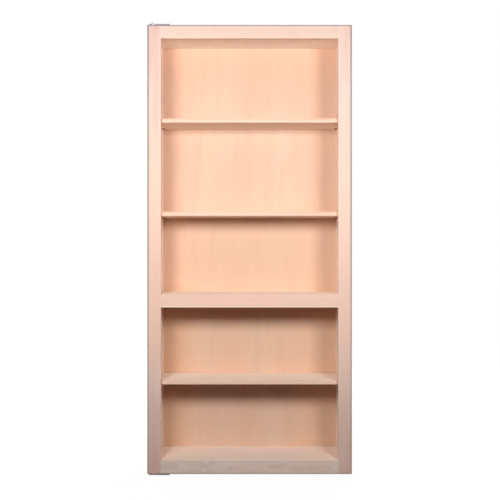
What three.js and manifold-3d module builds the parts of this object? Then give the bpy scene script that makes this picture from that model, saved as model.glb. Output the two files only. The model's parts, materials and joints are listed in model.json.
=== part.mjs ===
// A hidden door bookcase: a face-framed bookcase that hangs on a floor pivot and a spring-loaded
// head pivot at its left edge, with three adjustable shelves and a magnetic catch at its top right.
// Millimetres. +X is to the right, +Y goes back into the wall, +Z is up. The origin is on the floor,
// under the middle of the bookcase. The viewer stands at -Y, in the room.

import * as THREE from "three";
import { mergeVertices } from "three/addons/utils/BufferGeometryUtils.js";
import Module from "manifold-3d";

const wasm = await Module();
wasm.setup();

// Driving dimensions

// Face frame
const frame_width = 914.4;
const frame_height = 2006.6;
const frame_thickness = 19;
const stile_width = 60.3;
const top_rail_height = 60.3;
const middle_rail_height = 60.3;
const middle_rail_top = 804.6; // above the frame's lower edge
const bottom_rail_height = 63.5;
const tenon_length = 12;
const tenon_thickness = 6.3;
const tenon_shoulder = 9.5;

// Case behind the face frame
const overall_depth = 203.2;
const side_overhang = 27; // of the frame past each side of the case
const top_overhang = 27; // of the frame above the case
const panel_thickness = 19;
const back_thickness = 6;
const back_rabbet_width = 9.5;
const dado_depth = 6;

// Adjustable shelves
const shelf_thickness = 19;
const shelf_edging = 6;
const shelf_setback = 22; // of a shelf's front edge behind the face of the frame
const shelf_end_clearance = 1.5;
const shelf_back_clearance = 1.5;
const lower_shelf_underside = 395.7; // heights above the frame's lower edge
const centre_shelf_underside = 1154.5;
const upper_shelf_underside = 1574.3;

// Shelf pins and the columns of holes that take them
const pin_peg_diameter = 4.8;
const pin_peg_length = 8;
const pin_collar_diameter = 8;
const pin_collar_thickness = 1.1;
const pin_nose_diameter = 6.4;
const pin_nose_length = 9;
const pin_flat_rise = 2; // from the pin's axis up to the flat that the shelf lies on
const pin_hole_pitch = 32;
const pin_hole_count = 5; // in a column, around each shelf
const pin_column_inset = 37; // of a column from the front and back edges of the case

// Floor pivot
const pivot_inset = 25; // of the swinging axis from the left edge of the frame
const floor_plate_length = 92;
const floor_plate_depth = 34;
const floor_plate_thickness = 3;
const plate_edge_inset = 18; // of the axis from the left end of the floor and head plates
const plate_front_inset = 7; // of the axis from the front edge of every plate
const floor_pin_diameter = 10;
const floor_pin_rise = 23; // above the floor plate
const floor_pin_spigot_diameter = 8;
const floor_pin_chamfer = 1.5;
const washer_diameter = 17;
const washer_thickness = 2.4;
const bush_diameter = 13;
const bush_length = 25;
const pivot_plate_length = 104;
const pivot_plate_depth = 56;
const pivot_plate_thickness = 3;
const pivot_plate_end = 15; // from the axis to the plate's left end
const pivot_block_length = 74;
const pivot_block_depth = 60;

// Head pivot
const head_gap = 2.5; // between the frame and the head plate
const head_plate_thickness = 3;
const head_bush_diameter = 12;
const head_bush_rise = 8; // above the head plate
const head_bush_flange_diameter = 16;
const head_bush_flange_thickness = 1;
const top_pin_diameter = 8;
const top_pin_tip_clearance = 1; // below the top of the head bush
const top_pin_chamfer = 1.2;
const top_pin_collar_diameter = 10.4;
const top_pin_collar_height = 4;
const top_pin_guide_diameter = 5;
const top_pin_guide_length = 14;
const housing_diameter = 13;
const housing_wall = 1;
const housing_depth = 50; // inside, below its flange
const housing_floor = 1.5;
const housing_flange_length = 42;
const housing_flange_width = 14;
const housing_flange_thickness = 2.5;
const housing_screw_spacing = 28;
const spring_wire_diameter = 1.2;
const spring_mean_diameter = 7.8;
const spring_curls = 9;

// Screws that hold the plates
const plate_screw_head_diameter = 7.6;
const plate_screw_head_height = 2;
const plate_screw_shank_diameter = 3.8;
const plate_screw_length = 25;
const plate_screw_run = 20; // from the axis to the first hole, and from hole to hole in the fixed plates
const stile_screw_offset = 18; // from the axis to the pivot plate's screw in the stile
const block_screw_edge = 10; // from the pivot plate's right and rear edges
const block_screw_spacing = 36;

// Magnetic catch
const catch_from_right = 190; // from the frame's right edge to the middle of the catch
const catch_setback = 60; // from the face of the frame to the keeper
const catch_body_width = 34;
const catch_body_depth = 14;
const catch_body_height = 11.6;
const catch_wing_width = 10;
const catch_wing_height = 3;
const catch_floor = 1.4; // of the plastic case under the pole plates
const pole_width = 28;
const pole_depth = 11;
const pole_thickness = 1.2;
const pole_proud = 1; // of the case's rear face
const magnet_width = 26;
const magnet_depth = 9.5;
const magnet_thickness = 5;
const keeper_width = 40;
const keeper_thickness = 2;
const keeper_flange = 26;
const keeper_foot_clearance = 1.5; // between the keeper's lower edge and the case top
const keeper_hole_diameter = 4.5;
const keeper_hole_inset = 9; // from the ends
const catch_screw_head_diameter = 6;
const catch_screw_head_height = 2;
const catch_screw_shank_diameter = 3;
const catch_screw_length = 16;

// Clearances and the overrun of cuts
const joint_gap = 0.3; // between pieces that are fixed or rest on one another
const running_gap = 0.3; // between pieces that turn or slide on one another
const overrun = 5;

// Facets
const turned_sides = 24;
const screw_sides = 12;
const pin_sides = 12;
const hole_sides = 12;
const spring_sides = 5;
const spring_steps = 8; // in each curl

// Places worked out from the dimensions

const front = -overall_depth / 2;
const frame_back = front + frame_thickness;
const case_front = frame_back + joint_gap;
const case_back = overall_depth / 2;
const back_front = case_back - back_thickness;
const frame_half = frame_width / 2;
const opening_half = frame_half - stile_width;
const case_half = frame_half - side_overhang;
const bay_half = case_half - panel_thickness;
const case_height = frame_height - top_overhang;
const base_height = floor_plate_thickness + washer_thickness + running_gap;
const head_height = base_height + frame_height + head_gap;
const pivot_x = -frame_half + pivot_inset;
const pivot_y = front + frame_thickness / 2;
const rail_end = opening_half - joint_gap;
const panel_end = bay_half + dado_depth;
const panel_back = back_front - joint_gap;
const keeper_y = front + catch_setback;
const catch_x = frame_half - catch_from_right;

// Materials

function material(color, roughness, metalness) {
  return new THREE.MeshStandardMaterial({ color, roughness, metalness });
}

const maple = material("#f0cdb4", 0.62, 0);
const maple_plywood = material("#f3cfae", 0.6, 0);
const hardwood = material("#d9b48c", 0.7, 0);
const zinc_steel = material("#b9bcc0", 0.36, 0.9);
const bright_steel = material("#cfd1d3", 0.22, 1);
const spring_steel = material("#8d9094", 0.3, 1);
const nylon = material("#ecebe4", 0.45, 0);
const brown_plastic = material("#7b5a41", 0.5, 0);
const ferrite = material("#2e2d2c", 0.6, 0.2);

// Solids and geometry

function solidFrom(geometry) {
  const bare = new THREE.BufferGeometry();
  bare.setAttribute("position", geometry.getAttribute("position"));
  if (geometry.index) bare.setIndex(geometry.index);
  const merged = mergeVertices(bare);
  const corners = merged.index.array;
  const triangles = [];
  for (let i = 0; i < corners.length; i += 3) {
    const [a, b, c] = corners.slice(i, i + 3);
    if (a !== b && b !== c && c !== a) triangles.push(a, b, c);
  }
  return new wasm.Manifold(
    new wasm.Mesh({
      numProp: 3,
      vertProperties: merged.getAttribute("position").array,
      triVerts: new Uint32Array(triangles),
    }),
  );
}

function geometryFrom(solid) {
  const mesh = solid.getMesh();
  const geometry = new THREE.BufferGeometry();
  geometry.setAttribute("position", new THREE.BufferAttribute(mesh.vertProperties, 3));
  geometry.setIndex(new THREE.BufferAttribute(mesh.triVerts, 1));
  geometry.computeVertexNormals();
  return geometry;
}

function cut(body, tools) {
  return tools.reduce((rest, tool) => rest.subtract(tool), body);
}

function join(first, others) {
  return others.reduce((sum, other) => sum.add(other), first);
}

// A box between two values on each axis.
function block(x0, x1, y0, y1, z0, z1) {
  const box = new THREE.BoxGeometry(1, 1, 1);
  box.scale(x1 - x0, y1 - y0, z1 - z0);
  box.translate((x0 + x1) / 2, (y0 + y1) / 2, (z0 + z1) / 2);
  return solidFrom(box);
}

// A round solid about the Z axis. Its profile of [radius, height] goes up from the axis to the axis, or
// for a ring round its wall and back to its first point.
function turned(profile, sides, x, y, z) {
  const points = profile.map(([radius, height]) => new THREE.Vector2(radius, height));
  const lathe = new THREE.LatheGeometry(points, sides);
  lathe.rotateX(Math.PI / 2);
  lathe.translate(x, y, z);
  return solidFrom(lathe);
}

// A plain round rod that stands on a point.
function rod(diameter, length, sides, x, y, z) {
  const radius = diameter / 2;
  return turned([[0, 0], [radius, 0], [radius, length], [0, length]], sides, x, y, z);
}

// A rod that lies along X from a point.
function crossRod(diameter, length, sides, x, y, z) {
  const cylinder = new THREE.CylinderGeometry(diameter / 2, diameter / 2, length, sides);
  cylinder.rotateZ(-Math.PI / 2);
  cylinder.translate(x + length / 2, y, z);
  return solidFrom(cylinder);
}

// A ring about the Z axis.
function ring(outer, inner, length, sides, x, y, z) {
  return cut(rod(outer, length, sides, x, y, z), [
    rod(inner, length + 2 * overrun, sides, x, y, z - overrun),
  ]);
}

// A countersunk screw with its flat head at a point; direction is 1 for a shank that goes up, -1 for down.
function countersunkScrew(x, y, z, direction, slack) {
  const head = plate_screw_head_diameter / 2 + slack;
  const shank = plate_screw_shank_diameter / 2 + slack;
  const mouth = slack > 0 ? overrun : 0;
  const up = [
    [0, -mouth],
    [head, -mouth],
    [head, 0],
    [shank, plate_screw_head_height],
    [shank, plate_screw_length + slack],
    [0, plate_screw_length + slack],
  ];
  const profile = direction > 0 ? up : up.map(([r, h]) => [r, -h]).reverse();
  return turned(profile, screw_sides, x, y, z);
}

// A countersunk hole through a plate of its own, wide at a point.
function countersunkHole(x, y, z, direction) {
  return countersunkScrew(x, y, z, direction, joint_gap);
}

function piece(name, solid, finish) {
  const mesh = new THREE.Mesh(geometryFrom(solid), finish);
  mesh.name = name;
  return mesh;
}

// Face frame. Heights are above the frame's lower edge.

const rails = [
  ["top_rail", frame_height - top_rail_height, frame_height],
  ["middle_rail", middle_rail_top - middle_rail_height, middle_rail_top],
  ["bottom_rail", 0, bottom_rail_height],
];

// The tenons at both ends of a rail, or with slack the mortises that take them.
function tenonBar(low, high, slack) {
  const half = opening_half + tenon_length + slack;
  const thick = tenon_thickness / 2 + slack;
  const shoulder = tenon_shoulder - slack;
  return block(-half, half, pivot_y - thick, pivot_y + thick, low + shoulder, high - shoulder);
}

// A rail between the stiles; the bottom one is let out for the end of the pivot plate.
function rail([name, low, high]) {
  const bar = block(-rail_end, rail_end, front, frame_back, low, high);
  return piece(name, cut(bar.add(tenonBar(low, high, 0)), [pivotPlateRoom()]), maple);
}

function stile(side) {
  const inner = side * opening_half;
  const outer = side * frame_half;
  const plank = block(Math.min(inner, outer), Math.max(inner, outer), front, frame_back, 0, frame_height);
  return cut(plank, rails.map(([, low, high]) => tenonBar(low, high, joint_gap)));
}

function leftStile() {
  const tools = [pivotPlateRoom(), bushRoom(), housingRoom()];
  for (const cutter of plateScrewRooms()) tools.push(cutter);
  for (const x of housingScrewPlaces()) tools.push(countersunkHole(x, pivot_y, frame_height, -1));
  return piece("left_stile", cut(stile(-1), tools), maple);
}

function rightStile() {
  return piece("right_stile", stile(1), maple);
}

// Case

const shelves = [
  ["upper_shelf", upper_shelf_underside],
  ["centre_shelf", centre_shelf_underside],
  ["lower_shelf", lower_shelf_underside],
];

const pin_columns = [case_front + pin_column_inset, back_front - pin_column_inset];

// The height of the pins that carry a shelf.
function pinHeight(underside) {
  return underside - joint_gap - pin_flat_rise;
}

function pinHoles(side) {
  const holes = [];
  const length = pin_peg_length + joint_gap + overrun;
  const start = side > 0 ? bay_half - overrun : -bay_half - pin_peg_length - joint_gap;
  for (const [, underside] of shelves) {
    for (let i = 0; i < pin_hole_count; i++) {
      const height = pinHeight(underside) + (i - (pin_hole_count - 1) / 2) * pin_hole_pitch;
      for (const y of pin_columns) {
        holes.push(crossRod(pin_peg_diameter + 2 * joint_gap, length, hole_sides, start, y, height));
      }
    }
  }
  return holes;
}

// The groove in both sides for a panel that lies between two heights.
function dado(low, high) {
  const half = panel_end + joint_gap;
  return block(-half, half, case_front - overrun, case_back + overrun, low - joint_gap, high + joint_gap);
}

function casePanelGrooves() {
  return [
    dado(bottom_rail_height - panel_thickness, bottom_rail_height),
    dado(middle_rail_top - panel_thickness, middle_rail_top),
    dado(case_height - panel_thickness, case_height + overrun),
  ];
}

function backRabbet() {
  const half = bay_half + back_rabbet_width;
  return block(-half, half, back_front - joint_gap, case_back + overrun, -overrun, case_height + overrun);
}

function sidePanel(name, side, extra) {
  const inner = side * bay_half;
  const outer = side * case_half;
  const board = block(Math.min(inner, outer), Math.max(inner, outer), case_front, case_back, 0, case_height);
  const tools = [backRabbet(), ...casePanelGrooves(), ...pinHoles(side), ...extra];
  return piece(name, cut(board, tools), maple_plywood);
}

function crossPanel(name, top, tools) {
  const board = block(-panel_end, panel_end, case_front, panel_back, top - panel_thickness, top);
  return piece(name, cut(board, tools), maple_plywood);
}

function backPanel() {
  const half = bay_half + back_rabbet_width - joint_gap;
  return piece("back_panel", block(-half, half, back_front, case_back, 0, case_height), maple_plywood);
}

// Adjustable shelves

const shelf_half = bay_half - shelf_end_clearance;
const shelf_front = front + shelf_setback;

function shelfPanel([name, underside]) {
  const start = shelf_front + shelf_edging + joint_gap;
  const end = back_front - shelf_back_clearance;
  const board = block(-shelf_half, shelf_half, start, end, underside, underside + shelf_thickness);
  return piece(name, board, maple_plywood);
}

function shelfEdging([name, underside]) {
  const end = shelf_front + shelf_edging;
  const strip = block(-shelf_half, shelf_half, shelf_front, end, underside, underside + shelf_thickness);
  return piece(name + "_edging", strip, maple);
}

// A pin for the left side, with its axis at a height; the right one is turned half round the Z axis.
function shelfPin(name, side, y, height) {
  const flat = block(
    -overrun,
    pin_nose_length + overrun,
    -pin_collar_diameter,
    pin_collar_diameter,
    pin_flat_rise,
    pin_flat_rise + pin_collar_diameter,
  );
  const collar = crossRod(pin_collar_diameter, pin_collar_thickness, pin_sides, joint_gap / 2, 0, 0);
  const nose = crossRod(pin_nose_diameter, pin_nose_length, pin_sides, joint_gap / 2, 0, 0);
  const peg = crossRod(pin_peg_diameter, pin_peg_length + pin_collar_thickness, pin_sides, -pin_peg_length, 0, 0);
  const pin = piece(name, join(cut(join(collar, [nose]), [flat]), [peg]), bright_steel);
  pin.position.set(side * bay_half, y, height);
  pin.rotation.z = side > 0 ? Math.PI : 0;
  return pin;
}

function shelfPins() {
  const pins = [];
  for (const [shelf, underside] of shelves) {
    for (const [end, side] of [["left", -1], ["right", 1]]) {
      for (const [row, y] of [["front", pin_columns[0]], ["rear", pin_columns[1]]]) {
        pins.push(shelfPin(`${shelf}_pin_${end}_${row}`, side, y, pinHeight(underside)));
      }
    }
  }
  return pins;
}

// Floor pivot, fixed side. Heights are above the floor.

const fixed_plate_left = pivot_x - plate_edge_inset;
const fixed_plate_front = pivot_y - plate_front_inset;

// The places of the holes for the screws that go into the house.
function fixedPlateHoles() {
  const y = (fixed_plate_front + fixed_plate_front + floor_plate_depth) / 2;
  const last = fixed_plate_left + floor_plate_length - plate_screw_head_diameter;
  return [pivot_x + plate_screw_run, (pivot_x + plate_screw_run + last) / 2, last].map((x) => [x, y]);
}

function fixedPlate(bottom, thickness) {
  return block(
    fixed_plate_left,
    fixed_plate_left + floor_plate_length,
    fixed_plate_front,
    fixed_plate_front + floor_plate_depth,
    bottom,
    bottom + thickness,
  );
}

function floorPlate() {
  const holes = fixedPlateHoles().map(([x, y]) => countersunkHole(x, y, floor_plate_thickness, -1));
  const spigot = rod(
    floor_pin_spigot_diameter + 2 * joint_gap,
    floor_plate_thickness + 2 * overrun,
    turned_sides,
    pivot_x,
    pivot_y,
    -overrun,
  );
  return piece("floor_plate", cut(fixedPlate(0, floor_plate_thickness), [spigot, ...holes]), zinc_steel);
}

function floorPivotPin() {
  const radius = floor_pin_diameter / 2;
  const spigot = floor_pin_spigot_diameter / 2;
  const seat = floor_plate_thickness + joint_gap;
  const top = floor_plate_thickness + floor_pin_rise;
  const profile = [
    [0, joint_gap],
    [spigot, joint_gap],
    [spigot, seat],
    [radius, seat],
    [radius, top - floor_pin_chamfer],
    [radius - floor_pin_chamfer, top],
    [0, top],
  ];
  return piece("floor_pivot_pin", turned(profile, turned_sides, pivot_x, pivot_y, 0), bright_steel);
}

function thrustWasher() {
  const bore = floor_pin_diameter + 2 * running_gap;
  const washer = ring(washer_diameter, bore, washer_thickness, turned_sides, pivot_x, pivot_y, floor_plate_thickness);
  return piece("thrust_washer", washer, nylon);
}

// Floor pivot, bookcase side. Heights are above the frame's lower edge.

const pivot_plate_left = pivot_x - pivot_plate_end;
const pivot_plate_right = pivot_plate_left + pivot_plate_length;
const pivot_plate_front = pivot_y - plate_front_inset;
const pivot_plate_rear = pivot_plate_front + pivot_plate_depth;

function pivotPlateRoom() {
  return block(
    pivot_plate_left - joint_gap,
    pivot_plate_right + joint_gap,
    pivot_plate_front - joint_gap,
    pivot_plate_rear + joint_gap,
    -overrun,
    pivot_plate_thickness + joint_gap,
  );
}

function bushRoom() {
  const room = bush_diameter + 2 * joint_gap;
  return rod(room, bush_length + joint_gap + overrun, turned_sides, pivot_x, pivot_y, -overrun);
}

// One screw goes up into the stile and three into the pivot block.
function plateScrewPlaces() {
  const right = pivot_plate_right - block_screw_edge;
  const rear = pivot_plate_rear - block_screw_edge;
  const left = right - block_screw_spacing;
  const near = (pivot_plate_front + rear) / 2;
  return [
    [pivot_x + stile_screw_offset, pivot_y],
    [left, rear],
    [right, rear],
    [right, near],
  ];
}

function plateScrewRooms() {
  return plateScrewPlaces().map(([x, y]) => countersunkHole(x, y, 0, 1));
}

function bottomPivotPlate() {
  const plate = block(
    pivot_plate_left,
    pivot_plate_right,
    pivot_plate_front,
    pivot_plate_rear,
    0,
    pivot_plate_thickness,
  );
  return piece("bottom_pivot_plate", cut(plate, [bushRoom(), ...plateScrewRooms()]), zinc_steel);
}

function bottomPivotBush() {
  const bore = floor_pin_diameter + 2 * running_gap;
  return piece(
    "bottom_pivot_bush",
    ring(bush_diameter, bore, bush_length, turned_sides, pivot_x, pivot_y, 0),
    nylon,
  );
}

function pivotBlock() {
  const left = -bay_half + joint_gap;
  const top = bottom_rail_height - panel_thickness - joint_gap;
  const wood = block(left, left + pivot_block_length, case_front, case_front + pivot_block_depth, 0, top);
  return piece("pivot_block", cut(wood, [pivotPlateRoom(), ...plateScrewRooms()]), hardwood);
}

function plateScrews() {
  return plateScrewPlaces().map(([x, y], i) =>
    piece(`bottom_plate_screw_${i + 1}`, countersunkScrew(x, y, 0, 1, 0), zinc_steel),
  );
}

// Head pivot, bookcase side. Heights are above the frame's lower edge.

const collar_top = frame_height - housing_flange_thickness - running_gap;
const collar_bottom = collar_top - top_pin_collar_height;
const cup_floor = frame_height - housing_flange_thickness - housing_depth;
const pin_tip = frame_height + head_gap + head_plate_thickness + head_bush_rise - top_pin_tip_clearance;

function housingFlange(slack) {
  const half = housing_flange_length / 2 + slack;
  const width = housing_flange_width / 2 + slack;
  return block(
    pivot_x - half,
    pivot_x + half,
    pivot_y - width,
    pivot_y + width,
    frame_height - housing_flange_thickness - slack,
    frame_height + (slack > 0 ? overrun : 0),
  );
}

function housingRoom() {
  const bottom = cup_floor - housing_floor - joint_gap;
  const length = frame_height - bottom;
  return housingFlange(joint_gap).add(
    rod(housing_diameter + 2 * joint_gap, length, turned_sides, pivot_x, pivot_y, bottom),
  );
}

function housingScrewPlaces() {
  return [pivot_x - housing_screw_spacing / 2, pivot_x + housing_screw_spacing / 2];
}

function topPivotHousing() {
  const outside = rod(
    housing_diameter,
    frame_height - cup_floor + housing_floor,
    turned_sides,
    pivot_x,
    pivot_y,
    cup_floor - housing_floor,
  );
  const inside = rod(housing_diameter - 2 * housing_wall, housing_depth, turned_sides, pivot_x, pivot_y, cup_floor);
  const mouth = rod(
    top_pin_diameter + 2 * running_gap,
    housing_flange_thickness + 2 * overrun,
    turned_sides,
    pivot_x,
    pivot_y,
    frame_height - housing_flange_thickness - overrun,
  );
  const holes = housingScrewPlaces().map((x) => countersunkHole(x, pivot_y, frame_height, -1));
  return piece("top_pivot_housing", cut(outside.add(housingFlange(0)), [inside, mouth, ...holes]), zinc_steel);
}

function housingScrews() {
  return housingScrewPlaces().map((x, i) =>
    piece(`top_housing_screw_${i + 1}`, countersunkScrew(x, pivot_y, frame_height, -1, 0), zinc_steel),
  );
}

function topPivotPin() {
  const radius = top_pin_diameter / 2;
  const collar = top_pin_collar_diameter / 2;
  const guide = top_pin_guide_diameter / 2;
  const profile = [
    [0, collar_bottom - top_pin_guide_length],
    [guide, collar_bottom - top_pin_guide_length],
    [guide, collar_bottom],
    [collar, collar_bottom],
    [collar, collar_top],
    [radius, collar_top],
    [radius, pin_tip - top_pin_chamfer],
    [radius - top_pin_chamfer, pin_tip],
    [0, pin_tip],
  ];
  return piece("top_pivot_pin", turned(profile, turned_sides, pivot_x, pivot_y, 0), bright_steel);
}

// The spring's path: straight up from the cup's floor, round the curls, and straight up to the collar.
function springPath() {
  const radius = spring_mean_diameter / 2;
  const seat = cup_floor + joint_gap;
  const top = collar_bottom - joint_gap;
  const start = seat + spring_wire_diameter;
  const end = top - spring_wire_diameter;
  const steps = spring_curls * spring_steps;
  const place = (turn, height) =>
    new THREE.Vector3(radius * Math.cos(turn), radius * Math.sin(turn), height);
  const path = [place(0, seat)];
  for (let i = 0; i <= steps; i++) {
    const share = i / steps;
    path.push(place(2 * Math.PI * spring_curls * share, start + (end - start) * share));
  }
  path.push(place(2 * Math.PI * spring_curls, top));
  return path;
}

// The least gap from the tube to itself, between points that lie about one curl or more apart.
function leastGap(path, diameter, apart) {
  let least = Infinity;
  for (let i = 0; i < path.length; i++) {
    for (let j = i + apart; j < path.length; j++) {
      least = Math.min(least, path[i].distanceTo(path[j]) - diameter);
    }
  }
  return least;
}

// A tube of few sides along a path that winds round the Z axis, closed at both ends.
function woundTube(path, diameter, sides) {
  const positions = [];
  const triangles = [];
  path.forEach((point, i) => {
    const before = path[Math.max(i - 1, 0)];
    const after = path[Math.min(i + 1, path.length - 1)];
    const along = after.clone().sub(before).normalize();
    const out = new THREE.Vector3(point.x, point.y, 0).normalize();
    const across = along.clone().cross(out).normalize();
    for (let k = 0; k < sides; k++) {
      const turn = (2 * Math.PI * k) / sides;
      const corner = point
        .clone()
        .addScaledVector(out, (Math.cos(turn) * diameter) / 2)
        .addScaledVector(across, (Math.sin(turn) * diameter) / 2);
      positions.push(corner.x, corner.y, corner.z);
    }
  });
  for (let i = 0; i + 1 < path.length; i++) {
    for (let k = 0; k < sides; k++) {
      const a = i * sides + k;
      const b = i * sides + ((k + 1) % sides);
      triangles.push(a, b, b + sides, a, b + sides, a + sides);
    }
  }
  const last = (path.length - 1) * sides;
  for (let k = 1; k + 1 < sides; k++) {
    triangles.push(0, k + 1, k, last, last + k, last + k + 1);
  }
  const geometry = new THREE.BufferGeometry();
  geometry.setAttribute("position", new THREE.Float32BufferAttribute(positions, 3));
  geometry.setIndex(triangles);
  return solidFrom(geometry);
}

function topPivotSpring() {
  const path = springPath();
  const gap = leastGap(path, spring_wire_diameter, spring_steps - 1);
  console.log(`least gap of the spring to itself: ${gap.toFixed(2)} mm`);
  const spring = piece("top_pivot_spring", woundTube(path, spring_wire_diameter, spring_sides), spring_steel);
  spring.position.set(pivot_x, pivot_y, 0);
  return spring;
}

// Head pivot, fixed side. Heights are above the head plate's lower face.

function headPlate() {
  const holes = fixedPlateHoles().map(([x, y]) => countersunkHole(x, y, 0, 1));
  const room = rod(
    head_bush_diameter + 2 * joint_gap,
    head_plate_thickness + 2 * overrun,
    turned_sides,
    pivot_x,
    pivot_y,
    -overrun,
  );
  return piece("head_plate", cut(fixedPlate(0, head_plate_thickness), [room, ...holes]), zinc_steel);
}

function headBush() {
  const bore = top_pin_diameter / 2 + running_gap;
  const barrel = head_bush_diameter / 2;
  const flange = head_bush_flange_diameter / 2;
  const profile = [
    [bore, -joint_gap - head_bush_flange_thickness],
    [flange, -joint_gap - head_bush_flange_thickness],
    [flange, -joint_gap],
    [barrel, -joint_gap],
    [barrel, head_plate_thickness + head_bush_rise],
    [bore, head_plate_thickness + head_bush_rise],
    [bore, -joint_gap - head_bush_flange_thickness],
  ];
  return piece("head_bush", turned(profile, turned_sides, pivot_x, pivot_y, 0), nylon);
}

// Magnetic catch. Heights are above the frame's lower edge.

const pole_rear = keeper_y - running_gap;
const catch_rear = pole_rear - pole_proud;
const catch_front = catch_rear - catch_body_depth;
const pole_front = pole_rear - pole_depth;
const lower_pole = case_height + joint_gap + catch_floor;
const magnet_bottom = lower_pole + pole_thickness + joint_gap;
const upper_pole = magnet_bottom + magnet_thickness + joint_gap;
const catch_screw_reach = catch_body_width / 2 + catch_wing_width / 2;

function catchScrewPlaces() {
  return [catch_x - catch_screw_reach, catch_x + catch_screw_reach];
}

const catch_middle = (catch_front + catch_rear) / 2;

// A round-headed screw that points down from a point under its head, or with slack the room for its shank.
function catchScrew(x, slack) {
  const head = catch_screw_head_diameter / 2;
  const shank = catch_screw_shank_diameter / 2 + slack;
  const bottom = -catch_screw_length - slack;
  const shankProfile = [[0, bottom], [shank, bottom]];
  const headProfile = [
    [shank, 0],
    [head, 0],
    [head, catch_screw_head_height / 2],
    [head / 2, catch_screw_head_height],
    [0, catch_screw_head_height],
  ];
  const roomProfile = [[shank, overrun], [0, overrun]];
  const profile = shankProfile.concat(slack > 0 ? roomProfile : headProfile);
  const seat = case_height + joint_gap + catch_wing_height + joint_gap;
  return turned(profile, screw_sides, x, catch_middle, seat);
}

function catchScrews() {
  return catchScrewPlaces().map((x, i) => piece(`catch_screw_${i + 1}`, catchScrew(x, 0), zinc_steel));
}

function catchScrewRooms() {
  return catchScrewPlaces().map((x) => catchScrew(x, joint_gap));
}

function catchCase() {
  const half = catch_body_width / 2;
  const reach = half + catch_wing_width;
  const bottom = case_height + joint_gap;
  const body = block(catch_x - half, catch_x + half, catch_front, catch_rear, bottom, bottom + catch_body_height);
  const wings = block(catch_x - reach, catch_x + reach, catch_front, catch_rear, bottom, bottom + catch_wing_height);
  const slot = block(
    catch_x - pole_width / 2 - joint_gap,
    catch_x + pole_width / 2 + joint_gap,
    pole_front - joint_gap,
    catch_rear + overrun,
    lower_pole - joint_gap,
    upper_pole + pole_thickness + joint_gap,
  );
  return piece("catch_case", cut(body.add(wings), [slot, ...catchScrewRooms()]), brown_plastic);
}

function polePlate(name, bottom) {
  const half = pole_width / 2;
  const plate = block(catch_x - half, catch_x + half, pole_front, pole_rear, bottom, bottom + pole_thickness);
  return piece(name, plate, bright_steel);
}

function catchMagnet() {
  const half = magnet_width / 2;
  const rear = pole_front + magnet_depth;
  const top = magnet_bottom + magnet_thickness;
  return piece("catch_magnet", block(catch_x - half, catch_x + half, pole_front, rear, magnet_bottom, top), ferrite);
}

// The keeper hangs from the head of the opening, so its heights are above the head plate's lower face.
function keeperAngle() {
  const half = keeper_width / 2;
  const top = head_plate_thickness;
  const foot = keeper_foot_clearance - head_gap - top_overhang;
  const upright = block(catch_x - half, catch_x + half, keeper_y, keeper_y + keeper_thickness, foot, top);
  const flange = block(
    catch_x - half,
    catch_x + half,
    keeper_y,
    keeper_y + keeper_flange,
    top - keeper_thickness,
    top,
  );
  const reach = half - keeper_hole_inset;
  const holes = [catch_x - reach, catch_x + reach].map((x) =>
    rod(
      keeper_hole_diameter,
      keeper_thickness + 2 * overrun,
      hole_sides,
      x,
      keeper_y + (keeper_thickness + keeper_flange) / 2,
      top - keeper_thickness - overrun,
    ),
  );
  return piece("keeper_angle", cut(upright.add(flange), holes), zinc_steel);
}

// The assembly

function faceFrame() {
  return [leftStile(), rightStile(), ...rails.map(rail)];
}

function caseBox() {
  return [
    sidePanel("left_side", -1, [pivotPlateRoom(), ...plateScrewRooms()]),
    sidePanel("right_side", 1, []),
    crossPanel("top_panel", case_height, catchScrewRooms()),
    crossPanel("fixed_shelf", middle_rail_top, []),
    crossPanel("bottom_panel", bottom_rail_height, []),
    backPanel(),
    pivotBlock(),
  ];
}

function swingingHardware() {
  return [
    bottomPivotPlate(),
    bottomPivotBush(),
    ...plateScrews(),
    topPivotHousing(),
    ...housingScrews(),
    topPivotPin(),
    topPivotSpring(),
    catchCase(),
    polePlate("lower_pole_plate", lower_pole),
    catchMagnet(),
    polePlate("upper_pole_plate", upper_pole),
    ...catchScrews(),
  ];
}

const bookcase = new THREE.Group();
bookcase.position.z = base_height;
bookcase.add(...faceFrame(), ...caseBox());
bookcase.add(...shelves.map(shelfPanel), ...shelves.map(shelfEdging), ...shelfPins());
bookcase.add(...swingingHardware());

const floor_side = new THREE.Group();
floor_side.add(floorPlate(), floorPivotPin(), thrustWasher());

const head_side = new THREE.Group();
head_side.position.z = head_height;
head_side.add(headPlate(), headBush(), keeperAngle());

const hidden_door_bookcase = new THREE.Group();
hidden_door_bookcase.add(floor_side, bookcase, head_side);

export default hidden_door_bookcase;
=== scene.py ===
# %% [markdown]
# # A hidden door bookcase
#
# A bookcase of bare maple that hangs in a doorway on two pivots at its left edge and swings out as a
# door. The frame that is loaded here holds every piece at its real size and place. This lesson gives
# each piece its surface: boards with eased edges and a grain that runs the right way, plywood with its
# layers at the edges, and small hardware of steel and plastic.

# %% Load the frame
import json
import math
import random

import bmesh
import bpy
from mathutils import Matrix, Vector


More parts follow.
